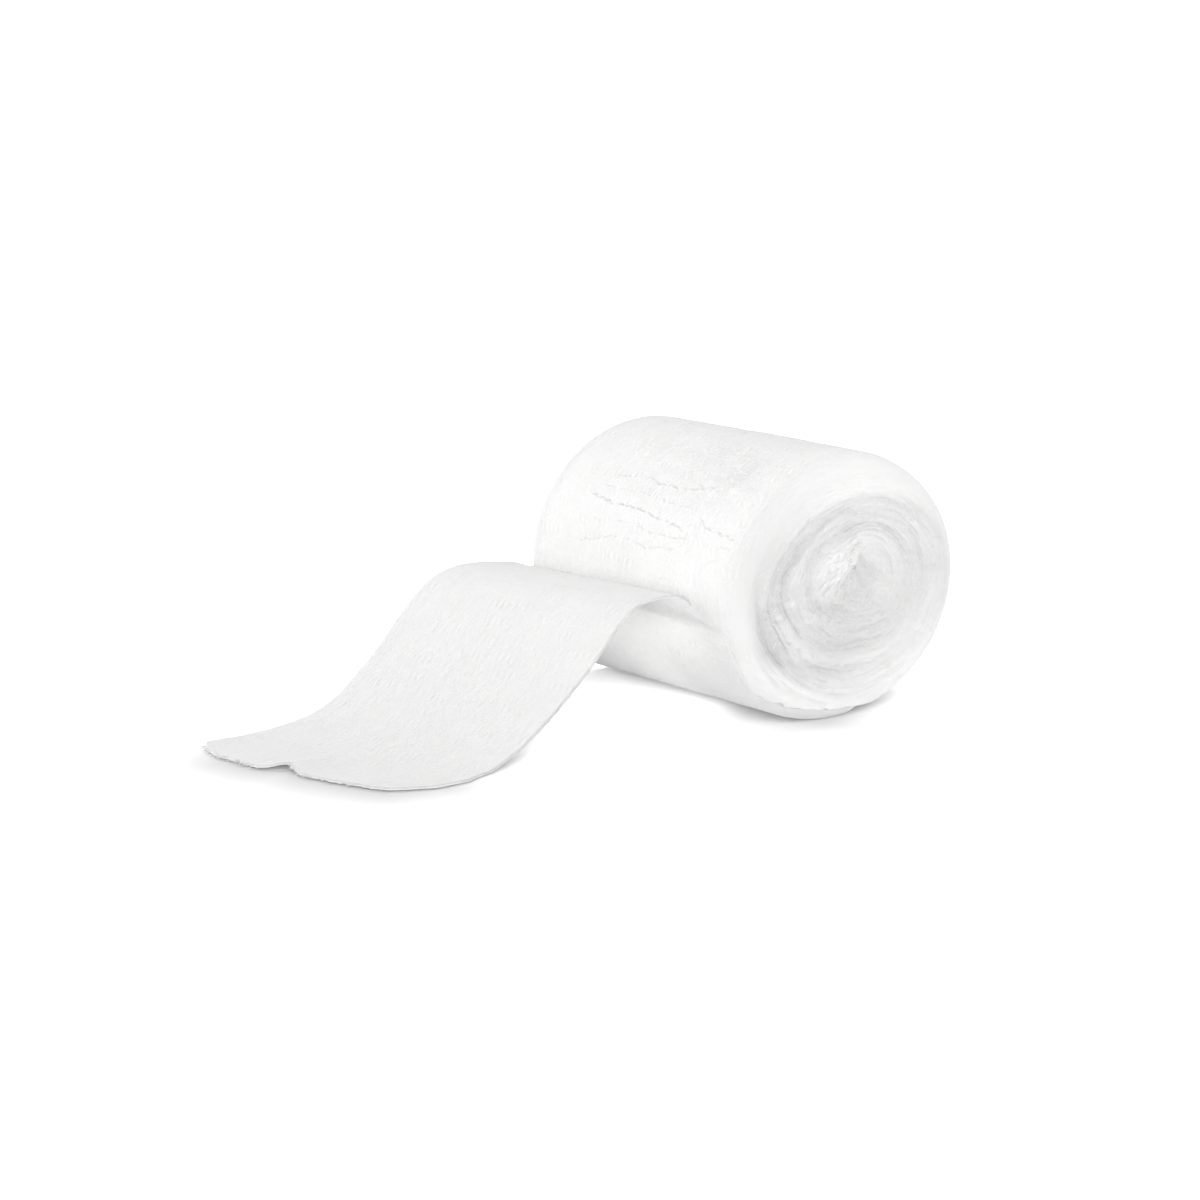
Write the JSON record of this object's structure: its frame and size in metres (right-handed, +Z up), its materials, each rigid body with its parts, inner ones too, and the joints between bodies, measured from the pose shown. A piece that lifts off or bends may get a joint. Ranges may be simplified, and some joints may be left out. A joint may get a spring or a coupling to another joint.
{
  "type": "gauze bandage roll",
  "caption": "Roll of crinkled gauze bandage lying on its side, its loose end folded out over the front and laid down in a long S.",
  "frame": {"origin": "centre of the roll's flat spot, on the surface that it lies on", "axes": "+X along the roll's axis towards the end whose turns show; +Z up; the loose end leaves the front, towards -Y"},
  "size_m": [0.0631, 0.1236, 0.0474],
  "materials": {
    "wound_gauze": "matt bleached cotton gauze, crinkled, fluffy at the wound ends",
    "loose_gauze": "matt bleached cotton gauze, one thickness, crinkled across the strip"
  },
  "bodies": {
    "root": {"wound_roll": "wound_gauze", "loose_end": "loose_gauze"}
  },
  "joints": []
}
